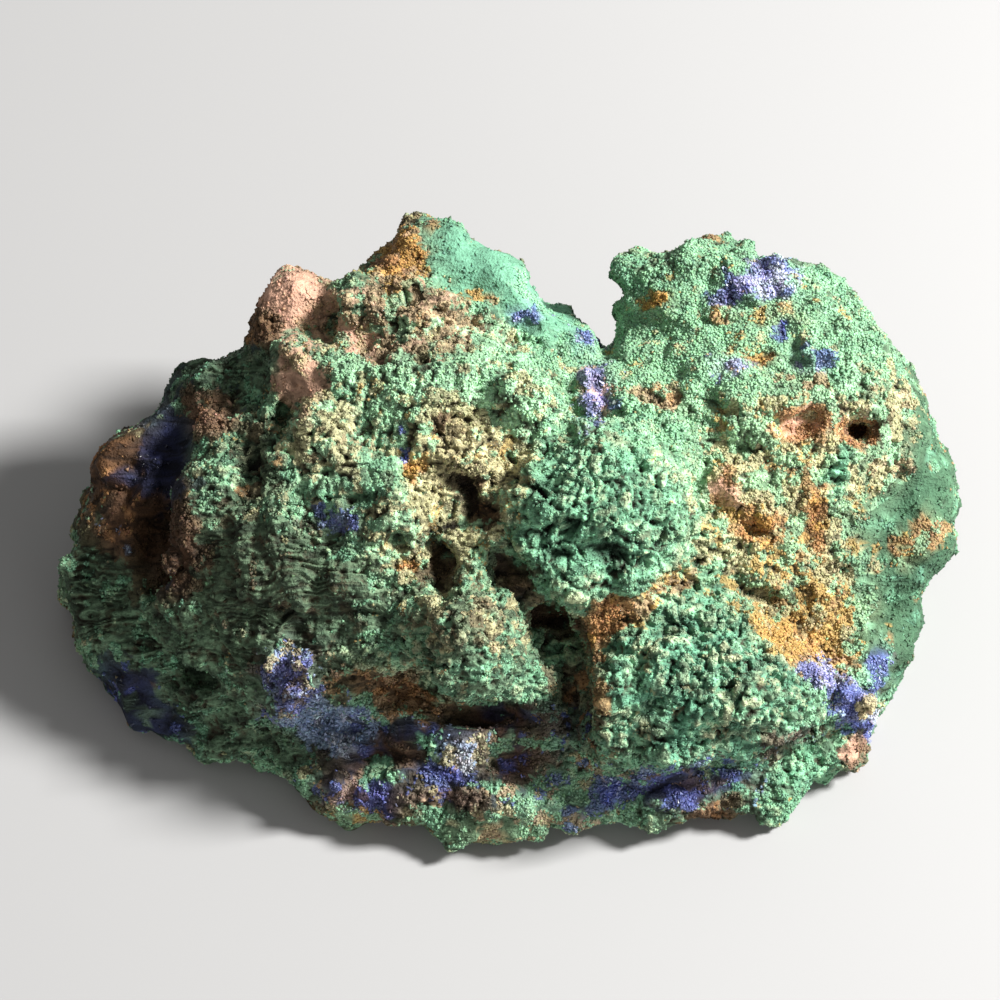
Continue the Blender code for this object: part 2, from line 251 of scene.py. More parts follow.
# %% Minerals and their colours
# Albedo of each mineral's grains, linear red, green and blue.
MINERALS = {
    "emerald": (0.18, 0.42, 0.25),
    "teal": (0.11, 0.32, 0.20),
    "mint": (0.27, 0.53, 0.31),
    "glaze": (0.14, 0.335, 0.215),
    "moss": (0.10, 0.17, 0.10),
    "cream": (0.50, 0.43, 0.23),
    "ochre": (0.54, 0.305, 0.08),
    "rust": (0.40, 0.20, 0.08),
    "brown": (0.13, 0.08, 0.045),
    "salmon": (0.62, 0.36, 0.25),
    "azurite": (0.07, 0.09, 0.33),
    "steel": (0.26, 0.35, 0.53),
    "ice": (0.43, 0.46, 0.52),
    "fern": (0.092, 0.146, 0.085),
    "umber": (0.056, 0.025, 0.010),
    "navy": (0.008, 0.010, 0.034),
    "tan": (0.40, 0.26, 0.15),
    "lilac": (0.36, 0.36, 0.62),
    "reed": (0.042, 0.105, 0.055),
    "frost": (0.36, 0.66, 0.39),
}
NAMES = list(MINERALS)
print(len(NAMES), "minerals")

# %% Patches of minerals
# Patches: right, up, half width, half height in mm, turn in degrees, and the shares of their
# minerals.
PATCHES = (
    (0, 2, 52, 34, 0, {"emerald": 4, "mint": 3, "cream": 1, "moss": 1, "ochre": 0.5}),
    (26, 20, 20, 15, 0,
     {"mint": 8, "emerald": 1.4, "cream": 1, "reed": 1.2, "ochre": 0.6, "rust": 0.3}),
    (36, 4, 17, 14, 0, {"mint": 3, "cream": 3.5, "ochre": 1.2, "emerald": 1.5, "rust": 0.5}),
    (50.6, -2, 7.2, 21, 0, {"reed": 8, "glaze": 0.8, "emerald": 1.5, "rust": 0.3}),
    (-27, -7, 15, 15, 10, {"fern": 9, "moss": 1, "emerald": 1, "umber": 1.4}),
    (-29, -5, 9.5, 8, 0, {"fern": 9, "umber": 0.8, "brown": 1.2}),
    # Moss and brown for this deep valley: its own colours, darkened further as painted shade.
    (-31, 8.6, 2.6, 6, 0, {"moss": 5, "brown": 3, "rust": 1.4, "emerald": 1}),
    (-22.5, 11, 6, 5, 0, {"cream": 4, "frost": 2.4, "tan": 1.4, "emerald": 2.4}),
    (-24, 8, 9, 8, 0, {"mint": 2.5, "emerald": 4, "moss": 2, "cream": 1.6}),
    (-7, 17, 16, 6, -6, {"frost": 6, "cream": 2.4, "emerald": 2, "mint": 1, "ochre": 0.6}),
    (-5, 7, 8, 8, 0, {"cream": 7, "ochre": 1, "frost": 2, "brown": 1.2}),
    (-10, -2, 7, 7, 0, {"cream": 4, "frost": 2, "emerald": 2, "brown": 1, "ochre": 0.6}),
    (10.5, 2, 13.5, 13, -20, {"emerald": 8, "mint": 1.6, "moss": 1.5}),
    (-4.3, -12, 8, 8, 0, {"emerald": 2.4, "cream": 3, "moss": 4.4, "brown": 2.8, "tan": 1}),
    (-4, -18, 7, 3.6, 0, {"emerald": 4, "moss": 3, "fern": 3, "cream": 0.8}),
    (24.5, -18.5, 14, 11.5, -20, {"teal": 8, "emerald": 3, "mint": 1.2, "cream": 1.2, "moss": 1.4}),
    (9.5, -20, 4, 8, 0, {"rust": 3, "moss": 3, "brown": 2, "teal": 1}),
    (6, -14.5, 3.4, 5, 0, {"brown": 2, "moss": 4, "emerald": 3, "rust": 0.6}),
    # Rows to (-8, -5.5): dark browns along the crevice left of the dome and behind the lower dome,
    # limonite and painted shade together; the small pit at (-7.7, -4) is painted shade.
    (-3.5, 3.4, 3.4, 1.5, -45, {"brown": 5, "umber": 3, "rust": 0.6}),
    (1.4, -5.2, 5, 2.1, -52, {"brown": 4, "moss": 2, "umber": 3}),
    (6, -11.4, 3.2, 1.3, -12, {"umber": 6, "brown": 3}),
    (-7.7, -4, 1.6, 2.7, 0, {"brown": 4, "umber": 3, "moss": 2}),
    (-8, -5.5, 3.8, 1.4, 6, {"brown": 5, "moss": 3, "cream": 0.6}),
    (-6.8, 12.4, 2.2, 1.2, 0, {"brown": 4, "cream": 3, "rust": 1}),
    (12, -11.5, 4, 2.4, 30, {"rust": 5, "brown": 1.5, "ochre": 1.5}),
    (18, -8, 8, 1.6, 24, {"ochre": 2, "rust": 2, "cream": 2, "tan": 2, "emerald": 3}),
    (-12.5, -20, 9, 3.2, -12, {"umber": 4, "rust": 3, "tan": 1.6, "brown": 1}),
    # The left pocket's umber is dark limonite, darkened further as painted shade.
    (-46, 2, 8, 11, 0, {"umber": 8, "brown": 0.6, "rust": 0.6}),
    (-48.5, 9, 3.6, 5, -20, {"rust": 1.4, "umber": 5, "tan": 0.2}),
    (-48, 0, 2.6, 4, 0, {"rust": 2, "umber": 4, "tan": 0.6, "steel": 0.3}),
    (-42, 10, 4, 6, -10, {"navy": 9}),
    (-44, 6, 5, 1.4, 0, {"navy": 5, "ice": 0.3}),
    (-40.5, -2, 4, 7, 0, {"umber": 5, "brown": 4, "navy": 1}),
    (-50, -7, 4, 8, 0, {"fern": 7, "emerald": 1}),
    (-44, -13.5, 10, 3.4, -38, {"fern": 7, "emerald": 2}),
    (-35, -22, 9, 4, -38, {"fern": 6, "emerald": 1, "moss": 2}),
    (-44, -21, 8, 6, -35, {"navy": 7, "azurite": 1.6, "umber": 1, "fern": 1}),
    (-36, 19, 9, 5, 25, {"fern": 4, "emerald": 1, "moss": 2, "navy": 1.6}),
    (-36, 14.5, 3.6, 3, 0, {"brown": 4, "salmon": 1.5, "rust": 1}),
    (-25.4, 18.6, 3, 4.6, 10, {"salmon": 8, "tan": 2, "cream": 2.4}),
    (-26.5, 28.5, 5.5, 5, 0, {"salmon": 9, "tan": 1}),
    (-30.5, 25, 2, 3, 0, {"brown": 5, "rust": 2}),
    (-12, 26, 11, 5, -4,
     {"tan": 5, "brown": 2, "frost": 2, "cream": 1.6, "salmon": 2.4, "emerald": 2.2, "rust": 0.8}),
    (-18, 23.5, 3, 2, 0, {"salmon": 4, "cream": 1}),
    (-13, 34, 3, 4.5, -20, {"ochre": 2.4, "rust": 3, "brown": 1, "tan": 2.4}),
    (-4, 34, 8, 4.5, -30, {"glaze": 9, "mint": 0.3}),
    (4, 28, 8, 3, -38, {"glaze": 7, "mint": 1.4, "emerald": 0.5}),
    (-4.5, 29.6, 4, 0.6, -12, {"rust": 3, "ochre": 2, "glaze": 3}),
    (3, 26.5, 2.4, 1.1, -30, {"azurite": 3, "lilac": 2, "mint": 1.5}),
    (10.5, 23.2, 2.4, 1.3, 0, {"azurite": 3, "lilac": 2, "mint": 1.5, "brown": 0.6}),
    (11, 17, 3, 3.8, 0, {"azurite": 3, "lilac": 4, "ice": 1, "salmon": 2.4, "cream": 1.2}),
    (-12, 13, 0.8, 0.8, 0, {"azurite": 5}),
    (-12.6, 9.8, 0.7, 0.9, 0, {"azurite": 5}),
    (-20.4, 1, 2.2, 1.4, 0, {"azurite": 3, "steel": 1, "cream": 1}),
    (-11.7, 8, 1.2, 1.6, 0, {"ochre": 5, "rust": 2}),
    (-12.2, -5.4, 1.2, 1.2, 0, {"ochre": 4, "rust": 3}),
    (28.5, 29.8, 3.4, 2, 0, {"azurite": 3, "lilac": 3, "tan": 1.2, "cream": 0.8}),
    (33.2, 31, 3.4, 3, -40, {"ice": 3, "lilac": 3, "azurite": 1.6, "steel": 1, "tan": 0.6}),
    (38.2, 21.4, 2.8, 1.6, 10, {"azurite": 2.4, "lilac": 2, "steel": 1.4, "mint": 5}),
    (27.4, 20.6, 2.4, 1, -6, {"lilac": 3, "azurite": 1, "salmon": 2, "mint": 2}),
    (31.6, 21, 1.6, 0.8, 0, {"ochre": 4, "rust": 2}),
    (34.5, 24.7, 1, 1, 0, {"azurite": 5}),
    (27.7, 26.8, 2, 1.4, 0, {"tan": 3, "mint": 3, "rust": 1, "ochre": 1}),
    (34.6, 26.2, 3.4, 1.6, 0, {"ochre": 2, "mint": 3, "rust": 1, "cream": 2}),
    (19.3, 16.1, 4, 1.3, -10, {"tan": 3, "brown": 2, "mint": 2, "rust": 1}),
    (37.3, 18.1, 3.6, 1.6, 0, {"tan": 3, "rust": 1, "mint": 3, "cream": 1}),
    (46.2, 12, 4.2, 8, 0, {"cream": 2.5, "mint": 3, "moss": 1.5, "tan": 1.5, "emerald": 1}),
    (18.5, 28.4, 1.6, 1, 0, {"ochre": 4, "rust": 1}),
    (37, 13, 4, 2, 10, {"rust": 5, "salmon": 3.4, "cream": 0.6}),
    (43.4, 12.4, 3.2, 1.8, 10, {"rust": 3, "brown": 2, "salmon": 1}),
    (27, 5, 2.4, 3, 0, {"salmon": 3, "rust": 3, "brown": 1}),
    (31, 0.4, 3.2, 2.2, -20, {"rust": 5, "ochre": 3}),
    (38.5, 0.6, 2, 4.4, 10, {"rust": 5, "ochre": 3}),
    (41, 7.4, 1.1, 4, -6, {"emerald": 9}),
    (37, -9.5, 8, 6, -20,
     {"ochre": 4, "cream": 2, "mint": 2.4, "rust": 1.4, "emerald": 1.4, "brown": 0.6}),
    (36, -13.5, 5, 3, -20, {"ochre": 6, "cream": 1.4, "rust": 1.4, "mint": 1, "brown": 0.8}),
    (49.5, -2, 2, 2, 0, {"rust": 3, "ochre": 2, "mint": 2}),
    (52.6, 0.2, 1.6, 2, 0, {"rust": 3, "mint": 2}),
    (39.6, -17.6, 3.6, 1.8, -10, {"azurite": 3, "lilac": 4, "ice": 1, "cream": 2.4, "brown": 0.4}),
    (42.8, -21, 3, 2.4, 0, {"azurite": 4, "lilac": 2, "steel": 2, "ice": 0.6, "brown": 1.4}),
    (46.4, -17, 1.6, 2.8, 0, {"azurite": 4, "lilac": 2, "mint": 1.4}),
    (44.5, -24.6, 2.4, 2, 0, {"azurite": 5, "steel": 1}),
    (45.7, -23.7, 1.2, 1.4, 0, {"ice": 5}),
    (44.8, -21.6, 1.4, 2, 0, {"cream": 4, "salmon": 1}),
    (43.5, -28, 2, 2, 0, {"salmon": 3, "brown": 2, "rust": 1}),
    (38.5, -29.6, 3, 3, 0, {"mint": 3, "emerald": 5}),
    (35, -26.5, 5, 1.4, 20, {"moss": 3, "brown": 4, "steel": 1}),
    (-26.5, -18.5, 3.8, 5.4, 0,
     {"azurite": 4, "steel": 1.6, "navy": 1.4, "cream": 1.8, "tan": 1.4, "ice": 0.8, "brown": 1.4}),
    (-21.5, -24.5, 6, 3.2, -10, {"steel": 7, "azurite": 1.4, "navy": 0.6, "ice": 2.4, "fern": 1}),
    # Rows to (1.5, -28.5): near-black navy and umber under the lower band's ledge, azurite and limonite
    # darkened as painted shade.
    (-12, -25, 7, 2.2, -6, {"navy": 6, "steel": 1.6, "azurite": 1.6, "umber": 2}),
    (-1, -23.8, 8, 2.6, 2, {"navy": 5, "umber": 4, "brown": 1}),
    (-13.8, -27.4, 3.6, 2.2, 0, {"umber": 4, "navy": 2, "brown": 2}),
    (1.5, -28.5, 5, 2.8, 0, {"umber": 4, "navy": 3, "azurite": 1, "brown": 3, "tan": 1.4}),
    (-16, -29, 9, 3.4, -6,
     {"umber": 5, "brown": 2, "fern": 1, "navy": 2, "azurite": 1, "steel": 0.6, "tan": 0.6}),
    (-17.3, -32.6, 6.4, 2.4, -10, {"azurite": 4, "lilac": 1, "navy": 3, "tan": 1.6, "umber": 2}),
    (-15, -30.5, 2.4, 1.4, 0, {"emerald": 5, "mint": 2}),
    (-9, -26.5, 1.2, 1.4, 0, {"emerald": 6}),
    (-4.6, -27.4, 2.8, 2.2, 0, {"cream": 3, "tan": 2, "ice": 1.6, "steel": 3}),
    (-5.5, -30.2, 3.4, 1.3, 0, {"azurite": 5, "navy": 2, "tan": 1}),
    (-6, -33.2, 6, 2, 0, {"tan": 3, "brown": 4, "azurite": 2, "navy": 1, "umber": 1, "cream": 0.6}),
    (-1.5, -37.4, 8, 2.2, 0, {"mint": 2, "reed": 5, "tan": 2.4, "cream": 0.6}),
    (-19.6, -35.6, 3.4, 1.5, 0, {"mint": 3, "ochre": 1, "tan": 2, "reed": 2}),
    (8, -33, 9.5, 4.6, 0,
     {"mint": 4, "emerald": 1.6, "reed": 3, "cream": 1, "tan": 2, "azurite": 2.4, "navy": 1.4}),
    (7, -24.6, 3, 4, 0, {"moss": 3, "brown": 2, "azurite": 2, "mint": 1}),
    (13, -32.6, 1.6, 1, 0, {"azurite": 5}),
    (23, -31.4, 9, 2.8, 4, {"azurite": 4, "navy": 3, "steel": 1.4, "umber": 2, "brown": 1, "tan": 0.6}),
    (25, -35, 4, 1.6, 0, {"brown": 4, "rust": 1}),
    (34.5, -34.4, 3, 2.6, 0, {"emerald": 4, "mint": 3, "ochre": 0.6}),
)
FLANK_GREEN = {"emerald": 3, "mint": 1.6, "fern": 4, "moss": 1, "teal": 1, "cream": 0.5}
FLANK_BROWN = {"umber": 4, "brown": 2, "rust": 1.2, "fern": 2, "ochre": 0.6, "cream": 0.5, "navy": 1}
print(len(PATCHES), "patches")

# %% Mix the patches at any point


def shares(recipe):
    """A recipe's shares as an array in the order of NAMES, adding up to 1."""
    row = np.array([recipe.get(name, 0) for name in NAMES], float)
    return row / row.sum()


def by_share(mix, table, rest=0.0):
    """For each point, the mean of a table's values by its minerals' shares, with rest for those not
    in it."""
    return mix @ np.array([table.get(name, rest) for name in NAMES])


def ellipse_distance(place, right, up, half_width, half_height, turn):
    """Squared distance from an ellipse's middle in half sizes, for places on the show face."""
    angle = math.radians(turn)
    across, along = place[:, 0] - right, place[:, 1] - up
    x = (across * math.cos(angle) + along * math.sin(angle)) / half_width
    y = (along * math.cos(angle) - across * math.sin(angle)) / half_height
    return x * x + y * y


def mixture(points, normals):
    """The share of each mineral at each point.

    Each patch is an ellipse with a soft edge: its weight is exp(-d^4), where d is the distance from
    its middle in half sizes, after the place has been pushed about by noise. Small patches lie over
    large ones. The patches fade out where the surface turns away from OUT, and the flanks' mixtures
    take over."""
    place, _ = seen_at(points)
    place = place + 4 * wander(points, 4, (11, 12)) + 2.4 * wander(points, 1.2, (14, 15))
    slow = layered_noise(points, 16, 21)
    brown = np.clip((slow - 0.52) * 9, 0, 1)[:, None]
    result = shares(FLANK_GREEN) * (1 - brown) + shares(FLANK_BROWN) * brown
    front = np.clip(normals @ OUT * 3 + 0.9, 0, 1)
    large_first = sorted(PATCHES, key=lambda row: -row[2] * row[3])
    for right, up, half_width, half_height, turn, recipe in large_first:
        distance = ellipse_distance(place, right, up, half_width, half_height, turn)
        weight = (np.exp(-distance * distance) * front)[:, None]
        result = result * (1 - weight) + shares(recipe) * weight
    return result


green_flank = shares(FLANK_GREEN)
print("green flank:", {name: round(share, 2) for name, share in zip(NAMES, green_flank) if share})

# %% Choose one mineral for each point


def choose(points, mix, seed, scatter):
    """The number of one mineral for each point, drawn by its shares.

    Each mineral has its own noise u in 0..1, part of it smooth so that like grains come in clusters
    and the share scatter of it random. The mineral with the largest log(share) - log(-log(u)) wins,
    which picks each one about as often as its share says."""
    rng = np.random.default_rng(seed)
    best = np.full(len(points), -np.inf)
    picked = np.zeros(len(points), int)
    for k in range(len(NAMES)):
        smooth = np.clip((layered_noise(points, 1.8, 31 + 3 * k) - 0.5) * 2.2 + 0.5, 0.01, 0.99)
        wild = rng.uniform(0.01, 0.99, len(points))
        u = smooth * (1 - scatter) + wild * scatter
        score = np.log(mix[:, k] + 1e-9) - np.log(-np.log(u))
        picked[score > best] = k
        best = np.maximum(best, score)
    return picked


drawn = choose(test, np.tile(green_flank, (len(test), 1)), 1, 0.5)
print("emerald drawn for", int((drawn == NAMES.index("emerald")).sum()), "of", len(test), "points")

# %% [markdown]
# ## The crust under the grains
# Between the grains the eye still sees a surface: knobs a few millimetres wide, with dark creases
# between them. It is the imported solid's form, so its mesh is copied, welded and rebuilt with small
# even faces. That could be sculpted by hand. Moving each vertex along its normal by knob noise is
# the same gesture made everywhere at once, and each mineral gets its own strength: malachite swells
# into knobs and azurite and limonite stay flatter.

# %% How knobby each mineral is
# How strongly each mineral shows the knobs.
KNOBBY = {"emerald": 1.0, "teal": 1.0, "mint": 0.3, "glaze": 0.1, "moss": 0.9, "cream": 0.9, "ochre": 0.6}
KNOBBY |= {"rust": 0.45, "brown": 0.9, "salmon": 0.2, "azurite": 0.4, "steel": 0.3, "ice": 0.2}
KNOBBY |= {"fern": 0.35, "umber": 0.35, "navy": 0.2, "tan": 0.9, "lilac": 0.3, "reed": 0.15, "frost": 0.5}
print("knobbiest:", [name for name in NAMES if KNOBBY[name] == 1])

# %% Rebuild the solid's skin with small even faces
CRUST_VOXEL = 0.22  # mm
WEAR_ROUNDS = 8
FLAT_BELOW = 0.2  # mm above the floor at which the underside is cut


def vertex_places(mesh):
    """Each vertex's place in mm."""
    flat = np.empty(len(mesh.vertices) * 3)
    mesh.vertices.foreach_get("co", flat)
    return flat.reshape(-1, 3) / MM


def vertex_normals(mesh):
    """Each vertex's normal, of length 1."""
    flat = np.empty(len(mesh.vertices) * 3)
    mesh.vertex_normals.foreach_get("vector", flat)
    return flat.reshape(-1, 3)


def fine_skin(node):
    """A welded copy of the node's mesh, rebuilt from voxels and slightly worn, as a mesh of its
    own."""
    bm = bmesh.new()
    bm.from_mesh(node.data)
    bmesh.ops.remove_doubles(bm, verts=bm.verts, dist=1e-6)
    mesh = bpy.data.meshes.new("fine_skin")
    bm.to_mesh(mesh)
    bm.free()
    skin = bpy.data.objects.new("fine_skin", mesh)
    bpy.context.scene.collection.objects.link(skin)
    rebuild = skin.modifiers.new("rebuild", "REMESH")
    rebuild.mode = "VOXEL"
    rebuild.voxel_size = CRUST_VOXEL * MM
    wear = skin.modifiers.new("wear", "SMOOTH")
    wear.iterations = WEAR_ROUNDS
    graph = bpy.context.evaluated_depsgraph_get()
    fine = bpy.data.meshes.new_from_object(skin.evaluated_get(graph))
    bpy.data.objects.remove(skin)
    return fine


def merge_underside(mesh):
    """Cuts the flat underside off just above the floor, closes the cut and sets it down on the
    floor again, which frees the underside's many triangles for the rest."""
    bm = bmesh.new()
    bm.from_mesh(mesh)
    everything = bm.verts[:] + bm.edges[:] + bm.faces[:]
    cut_at = (0, 0, FLAT_BELOW * MM)
    bmesh.ops.bisect_plane(bm, geom=everything, plane_co=cut_at, plane_no=(0, 0, 1), clear_inner=True)
    bmesh.ops.holes_fill(bm, edges=[edge for edge in bm.edges if edge.is_boundary])
    bmesh.ops.triangulate(bm, faces=bm.faces)
    bm.to_mesh(mesh)
    bm.free()
    places = vertex_places(mesh)
    places[places[:, 2] < FLAT_BELOW * 1.01, 2] = 0
    mesh.vertices.foreach_set("co", (places * MM).ravel())
    mesh.update()


crust_mesh = fine_skin(solid)
merge_underside(crust_mesh)
print("fine skin:", len(crust_mesh.polygons), "triangles")

# %% Use fewer faces where it is plain or out of sight
BACK_TRIANGLES = 270_000  # merged away on the sides and the back
CRUST_TRIANGLES = 620_000  # left in the end
PLAIN_BELOW = 0.55  # knobbiness below which larger faces do
CLEAR_OF_FLOOR = 0.1  # mm below which nothing is thinned


def thin(mesh, vertices, triangles):
    """Merges faces round the given vertices until so many triangles are left in the whole mesh."""
    skin = bpy.data.objects.new("thinned_skin", mesh)
    bpy.context.scene.collection.objects.link(skin)
    group = skin.vertex_groups.new(name="plain")
    group.add(vertices.tolist(), 1.0, "REPLACE")
    merge = skin.modifiers.new("merge", "DECIMATE")
    merge.ratio = triangles / len(mesh.polygons)
    merge.vertex_group = group.name
    graph = bpy.context.evaluated_depsgraph_get()
    thinned_mesh = bpy.data.meshes.new_from_object(skin.evaluated_get(graph))
    bpy.data.objects.remove(skin)
    return thinned_mesh


skin_normals = vertex_normals(crust_mesh)
away = (skin_normals @ OUT < 0.1) & (vertex_places(crust_mesh)[:, 2] > CLEAR_OF_FLOOR)
crust_mesh = thin(crust_mesh, np.flatnonzero(away), len(crust_mesh.polygons) - BACK_TRIANGLES)
print(len(crust_mesh.polygons), "triangles with a thinner back")
skin_points, skin_normals = vertex_places(crust_mesh), vertex_normals(crust_mesh)
skin_mix = mixture(skin_points, skin_normals)
knobby = by_share(skin_mix, KNOBBY) + 0.5 * skin_mix[:, NAMES.index("fern")]
plain = (knobby < PLAIN_BELOW) & (skin_points[:, 2] > CLEAR_OF_FLOOR)
crust_mesh = thin(crust_mesh, np.flatnonzero(plain), CRUST_TRIANGLES)
print("crust:", len(crust_mesh.vertices), "vertices,", len(crust_mesh.polygons), "triangles")

# %% [markdown]
# ## Hollows, clumps and ridges
# Malachite grows outward in rounded clumps that touch and leave dark creases, much like coral. On
# the dark slope it forms thin wavy ridges instead, and here and there the crust is pitted.
# Sculpting brushes could draw this clump by clump. A height that is worked out for every vertex
# from its place and its mineral makes the same forms all over, and a short list adds the single
# hollows that one would know the piece by.

# %% Single hollows
# Hollows too small for the solid: right, up, half width, half height in mm, turn in degrees, depth
# in mm. Those with a depth below zero are lumps.
HOLLOWS = (
    (7.5, 11.7, 1.2, 0.9, 0, 1.2),
    (3, 6, 2.2, 1.2, -30, 1.6),
    (7.8, 0.6, 1.8, 1.1, 30, 1.8),
    (7.1, -3.2, 1.6, 1.3, -20, 1.8),
    (13.2, -3.5, 2.6, 1.1, 8, 2.4),
    (20.3, -0.7, 1.1, 1.1, 0, 1.8),
    (4.3, -1.4, 1, 2, 20, 1.6),
    (-4.6, 3.4, 2.8, 1.2, -60, 2.2),
    (-1.2, -4.2, 3.6, 1.2, -50, 0.7),
    (2.4, -8.6, 2.6, 1, -45, 1.8),
    (-9.9, -4.8, 2.6, 1, 22, 0.7),
    (-8.6, -1.2, 1, 1.8, 20, 1.4),
    (6.1, -11.6, 3.2, 1, -12, 1.4),
    (-7, 12.3, 2, 1, 0, 1.6),
    (-12.8, -1, 1.8, 1.2, 0, 1.8),
    (-17.6, 4.3, 2.2, 1.2, 0, 1.6),
    (-31, 8.6, 2, 6, 0, 1.6),
    (-26.5, -11.2, 3.4, 1.2, 0, 1.8),
    (-17, -10.5, 3, 1.1, -10, 1.4),
    (-12, 21.6, 9, 0.8, 0, 1.2),
    (26.5, 15.4, 2.6, 0.9, -20, 1.2),
    (20, 16.4, 2.4, 0.8, -10, 1.2),
    (31.6, -8.4, 2.2, 0.8, -20, 1.2),
    (44, 12.6, 2.4, 1.1, 10, 1.5),
    (16, 8, 2.4, 0.8, -40, 1),
    (18, -26.5, 3, 1, 10, 1.4),
    (30, -25.6, 3, 1, 14, 1.4),
    (20, -12, 3, 0.9, 30, 1.2),
    (-1, -24, 6, 1.2, -6, 1.6),
    (-11.2, 28.4, 2.4, 0.9, 20, 0.9),
    (-17, 23, 1.6, 1, -30, 1.2),
    (-7.6, 27.2, 1.4, 0.9, 0, 1.6),
    (-3.6, 25.8, 1.4, 0.8, 20, 1.2),
    (-21.4, 25.8, 1, 1.8, 0, 1.4),
    (31.2, 0.7, 1.9, 1.5, -20, -1.4),
)


def sunk(points, normals):
    """How deep in mm the hollows go at each point: the depth times exp(-d^2) of the pushed place,
    on the show side only."""
    place, _ = seen_at(points)
    place = place + 3.4 * wander(points, 2.4, (91, 92))
    total = np.zeros(len(points))
    for right, up, half_width, half_height, turn, depth in HOLLOWS:
        distance = ellipse_distance(place, right, up, half_width, half_height, turn)
        total += depth * np.exp(-distance)
    return total * rise(normals @ OUT, -0.1, 0.3)


print(len(HOLLOWS), "hollows, the deepest", max(row[5] for row in HOLLOWS), "mm")

# %% Clumps, ridges and pores
# How strongly each mineral shows the pores.
PORED = {"emerald": 1.0, "teal": 1.0, "mint": 0.3, "moss": 0.9, "cream": 1.0, "ochre": 0.2}
PORED |= {"rust": 0.6, "fern": 0.3}
LOW_RIM = 1.5  # mm above the underside below which the relief fades out
CLUMP_HEIGHT = 1.9  # mm
RIDGE_STEP = 0.95  # mm from ridge to ridge
RIDGE_HEIGHT = 0.85  # mm
PORE_DEPTH = 0.9  # mm


def coral(points):
    """Height 0..1 of clumps with grains on them: half knobs 1.3 mm apart and half billows, and on
    them knobs 0.6 mm apart, in shares of three to two, all on ground that noise has pushed
    about."""
    push = 1.3 * wander(points, 1.1, (94, 95, 96), 2)
    clumps = rise(knob_noise(points + push, 1.3, 47), 0.55, 0.95)
    clumps += rise(billow(points + push, 1.5, 98), 0.02, 0.4)
    grains = rise(knob_noise(points + 0.4 * push, 0.62, 48), 0.45, 0.95)
    return 0.3 * clumps + 0.4 * grains


def crust_height(points, mix):
    """Height in mm over the plain solid, and how far each point lies in a gap that is given dirt and
    painted shade (up to 1) or on a tip that is given dusting and painted highlight (down to -1).

    Mounds about 7 and 3.4 mm wide carry knobs 2.6 mm apart, coral clumps and fine grit, all by the
    mineral's knobbiness. Fern-green malachite has thin ridges as well, RIDGE_STEP apart in UP and
    bent by noise that is about three times as long to the right. Pores sink in where a slow noise
    is high, on ground that noise has pushed about, so they come in groups and are never round. The
    relief fades out towards the underside."""
    knobby = by_share(mix, KNOBBY)
    pored = by_share(mix, PORED, 0.1)
    pushed = points + 3.0 * wander(points, 3.2, (55, 56, 57))
    mounds = 2.4 * (layered_noise(points, 7, 50) - 0.5) + 0.8 * (knob_noise(pushed, 3.4, 58) - 0.8)
    grown = coral(points)
    knobs = 0.5 * (knob_noise(points, 2.6, 41) - 0.7) + CLUMP_HEIGHT * (grown - 0.7)
    grit = 0.3 * (layered_noise(points, 0.8, 53) - 0.5)
    lying = points @ np.stack((RIGHT * 0.35, UP, OUT), axis=1)
    bend = points @ UP + 6 * layered_noise(lying, 2.6, 54) + 0.5 * layered_noise(points, 1.2, 99, 2)
    wave = np.abs(np.sin(math.pi * bend / RIDGE_STEP))
    fern = mix[:, NAMES.index("fern")]
    ridged = 0.3 + 0.7 * rise(layered_noise(points, 4, 69), 0.35, 0.65)
    ridges = RIDGE_HEIGHT * (0.5 - wave) * fern * ridged
    pore = rise(knob_noise(pushed, 3.6, 67), 0.88, 0.97) * rise(layered_noise(points, 6, 72), 0.56, 0.62)
    height = mounds * (0.4 + 0.6 * knobby) + (knobs + grit) * knobby**1.5 + ridges
    height -= PORE_DEPTH * pore * pored
    gap = (1 - rise(grown, 0.33, 0.62)) * rise(knobby, 0.1, 0.8)
    gap += 0.75 * rise(wave, 0.45, 0.95) * fern
    tip = rise(grown, 0.7, 0.95) * knobby
    return height * np.clip(points[:, 2] / LOW_RIM, 0, 1), np.clip(gap, 0, 1) - tip


print("coral height from", coral(test).min().round(2), "to", coral(test).max().round(2))

# %% Move the skin
crust_points = vertex_places(crust_mesh)
crust_normals = vertex_normals(crust_mesh)
crust_mix = mixture(crust_points, crust_normals)
crust_lift, crust_gap = crust_height(crust_points, crust_mix)
crust_lift -= sunk(crust_points, crust_normals)
crust_points += crust_normals * crust_lift[:, None]
crust_mesh.vertices.foreach_set("co", (crust_points * MM).ravel())
crust_mesh.update()
print("relief from", crust_lift.min().round(2), "to", crust_lift.max().round(2), "mm")

# %% [markdown]
# ## The crust's colour
# The crystals are coloured right through. The creases get dirt and painted shade, and the tips pale
# dusting and painted highlight. That could be painted on a picture wrapped round the piece, which is
# only as sharp as its dots. A colour kept at each vertex comes from the same heights as the relief,
# so creases and their dark tint always meet.

# %% Ways to keep colours and to wear them
PALETTE = np.array([MINERALS[name] for name in NAMES])
DEEP_SHADE = (-1.9, -0.3, 0.2, 1.06)  # from this height to this in mm, the tint goes from this to this
DUST_AND_HIGHLIGHT = np.array((0.62, 0.58, 0.34))
DIRT_AND_SHADE = np.array((0.05, 0.038, 0.022))
DUSTY_AND_LIT = [NAMES.index(name) for name in ("emerald", "teal", "moss")]


def keep_values(mesh, name, values):
    """Stores a number for each vertex in an attribute of this name."""
    mesh.attributes.new(name, "FLOAT", "POINT").data.foreach_set("value", values)


def paint(mesh, colours):
    """Stores a colour for each vertex in the attribute that the materials read."""
    attribute = mesh.attributes.new("tint", "FLOAT_COLOR", "POINT")
    full = np.ones((len(colours), 4))
    full[:, :3] = np.clip(colours, 0, 1)
    attribute.data.foreach_set("color", full.ravel())


